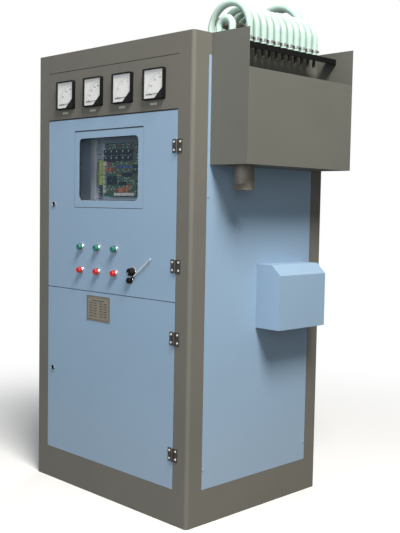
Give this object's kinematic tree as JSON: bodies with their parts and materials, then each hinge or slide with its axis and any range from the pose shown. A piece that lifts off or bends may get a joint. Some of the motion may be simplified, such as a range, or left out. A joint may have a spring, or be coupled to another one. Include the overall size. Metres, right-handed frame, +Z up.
{
  "type": "induction heating power cabinet",
  "caption": "Induction heating power cabinet: hinged doors, windowed control bay, panel meters, hose hopper with drain, output hood, live buttons, knob, lever and locks.",
  "frame": {"origin": "centre of the floor bolt pattern, on the floor", "axes": "+X to the hopper side, -Y out of the doors, +Z up"},
  "size_m": [1.1925, 0.8283, 2.1293],
  "materials": {
    "frame_paint": "satin powder coat",
    "hopper_paint": "satin powder coat",
    "panel_paint": "satin powder coat",
    "plate_paint": "matt paint",
    "galvanised": "dull zinc",
    "bright_steel": "bright zinc or chrome",
    "plate_metal": "brushed",
    "black_plastic": "moulded",
    "dial_white": "matt white",
    "tag_white": "matt",
    "needle_black": "matt black",
    "clear": "clear",
    "gasket_rubber": "matt",
    "drain_galvanised": "dull zinc, weathered",
    "strip_black": "satin black",
    "fitting_brass": "machined, with steel clamps",
    "hose_plastic": "translucent mint",
    "copper": "bare copper",
    "insulating_board": "laminate",
    "circuit_board": "solder mask",
    "board_black": "moulded",
    "wiring_plastic": "moulded",
    "ceramic": "glazed",
    "core_steel": "varnished laminations",
    "button_green": "moulded",
    "button_red": "moulded"
  },
  "bodies": {
    "cabinet": {"plinth": "frame_paint", "floor_plate": "galvanised", "corner_posts": "frame_paint", "frame_rails": "frame_paint", "roof_panel": "frame_paint", "left_side_panel": "panel_paint", "right_side_panel": "panel_paint", "rear_panels": "panel_paint", "frame_screws": "bright_steel", "header_panel": "frame_paint", "meter_panel": "frame_paint", "meter_cases": "black_plastic", "meter_dials": "dial_white", "meter_windows": "clear", "meter_tags": "tag_white", "hinge_frame_leaves": "galvanised", "hinge_pins": "bright_steel", "return_hopper": "hopper_paint", "drain_pipe": "drain_galvanised", "hose_strip": "strip_black", "hose_fittings": "fitting_brass", "water_hoses": "hose_plastic", "supply_header": "drain_galvanised", "side_hood": "panel_paint", "busbars": "copper", "bar_insulator": "insulating_board", "mounting_plate": "plate_paint", "control_board": "circuit_board", "board_parts": "board_black", "plate_wiring": "wiring_plastic", "main_breaker": "black_plastic", "cooling_blocks": "copper", "thyristors": "ceramic", "stack_clamp": "galvanised", "reactor_core": "core_steel", "reactor_coils": "copper"},
    "upper_door_body": {"upper_door": "panel_paint", "window_frame": "panel_paint", "window_gasket": "gasket_rubber", "window_pane": "clear", "upper_door_hinges": "galvanised", "button_housings": "bright_steel", "rotary_bodies": "bright_steel"},
    "lower_door_body": {"lower_door": "panel_paint", "lower_door_hinges": "galvanised", "rating_plate": "plate_metal"},
    "needle_1": {"meter_needle_1": "needle_black"},
    "needle_2": {"meter_needle_2": "needle_black"},
    "needle_3": {"meter_needle_3": "needle_black"},
    "needle_4": {"meter_needle_4": "needle_black"},
    "green_button_1_body": {"green_button_1": "button_green"},
    "green_button_2_body": {"green_button_2": "button_green"},
    "green_button_3_body": {"green_button_3": "button_green"},
    "red_button_1_body": {"red_button_1": "button_red"},
    "red_button_2_body": {"red_button_2": "button_red"},
    "red_button_3_body": {"red_button_3": "button_red"},
    "knob": {"power_knob": "black_plastic"},
    "lever": {"switch_lever": "bright_steel"},
    "upper_lock_cam": {"upper_lock": "bright_steel"},
    "lower_lock_cam": {"lower_lock": "bright_steel"}
  },
  "joints": [
    {"name": "upper_door_swing", "type": "hinge", "parent": "cabinet", "child": "upper_door_body", "pos_m": [0.4195, -0.4048, 1.2445], "axis": [0, 0, 1], "range_deg": [0, 120]},
    {"name": "lower_door_swing", "type": "hinge", "parent": "cabinet", "child": "lower_door_body", "pos_m": [0.4195, -0.4048, 0.5075], "axis": [0, 0, 1], "range_deg": [0, 120]},
    {"name": "meter_needle_1_turn", "type": "hinge", "parent": "cabinet", "child": "needle_1", "pos_m": [-0.2519, -0.408, 1.67821], "axis": [0, 1, 0], "range_deg": [0, 90], "stiffness_Nm_per_rad": 0.002},
    {"name": "meter_needle_2_turn", "type": "hinge", "parent": "cabinet", "child": "needle_2", "pos_m": [-0.0599, -0.408, 1.67821], "axis": [0, 1, 0], "range_deg": [0, 90], "stiffness_Nm_per_rad": 0.002},
    {"name": "meter_needle_3_turn", "type": "hinge", "parent": "cabinet", "child": "needle_3", "pos_m": [0.1321, -0.408, 1.67821], "axis": [0, 1, 0], "range_deg": [0, 90], "stiffness_Nm_per_rad": 0.002},
    {"name": "meter_needle_4_turn", "type": "hinge", "parent": "cabinet", "child": "needle_4", "pos_m": [0.3241, -0.408, 1.67821], "axis": [0, 1, 0], "range_deg": [0, 90], "stiffness_Nm_per_rad": 0.002},
    {"name": "green_button_1_press", "type": "slide", "parent": "upper_door_body", "child": "green_button_1_body", "axis": [0, 1, 0], "range_m": [0, 0.005], "stiffness_N_per_m": 400, "springref_m": -0.002},
    {"name": "green_button_2_press", "type": "slide", "parent": "upper_door_body", "child": "green_button_2_body", "axis": [0, 1, 0], "range_m": [0, 0.005], "stiffness_N_per_m": 400, "springref_m": -0.002},
    {"name": "green_button_3_press", "type": "slide", "parent": "upper_door_body", "child": "green_button_3_body", "axis": [0, 1, 0], "range_m": [0, 0.005], "stiffness_N_per_m": 400, "springref_m": -0.002},
    {"name": "red_button_1_press", "type": "slide", "parent": "upper_door_body", "child": "red_button_1_body", "axis": [0, 1, 0], "range_m": [0, 0.005], "stiffness_N_per_m": 400, "springref_m": -0.002},
    {"name": "red_button_2_press", "type": "slide", "parent": "upper_door_body", "child": "red_button_2_body", "axis": [0, 1, 0], "range_m": [0, 0.005], "stiffness_N_per_m": 400, "springref_m": -0.002},
    {"name": "red_button_3_press", "type": "slide", "parent": "upper_door_body", "child": "red_button_3_body", "axis": [0, 1, 0], "range_m": [0, 0.005], "stiffness_N_per_m": 400, "springref_m": -0.002},
    {"name": "power_knob_turn", "type": "hinge", "parent": "upper_door_body", "child": "knob", "pos_m": [0.166, -0.41, 0.977], "axis": [0, 1, 0], "range_deg": [0, 270]},
    {"name": "switch_lever_turn", "type": "hinge", "parent": "upper_door_body", "child": "lever", "pos_m": [0.156, -0.41, 0.941], "axis": [0, 1, 0], "range_deg": [0, 45]},
    {"name": "upper_lock_turn", "type": "hinge", "parent": "upper_door_body", "child": "upper_lock_cam", "pos_m": [-0.3775, -0.4, 1.2445], "axis": [0, 1, 0], "range_deg": [0, 90]},
    {"name": "lower_lock_turn", "type": "hinge", "parent": "lower_door_body", "child": "lower_lock_cam", "pos_m": [-0.3775, -0.4, 0.5075], "axis": [0, 1, 0], "range_deg": [0, 90]}
  ]
}
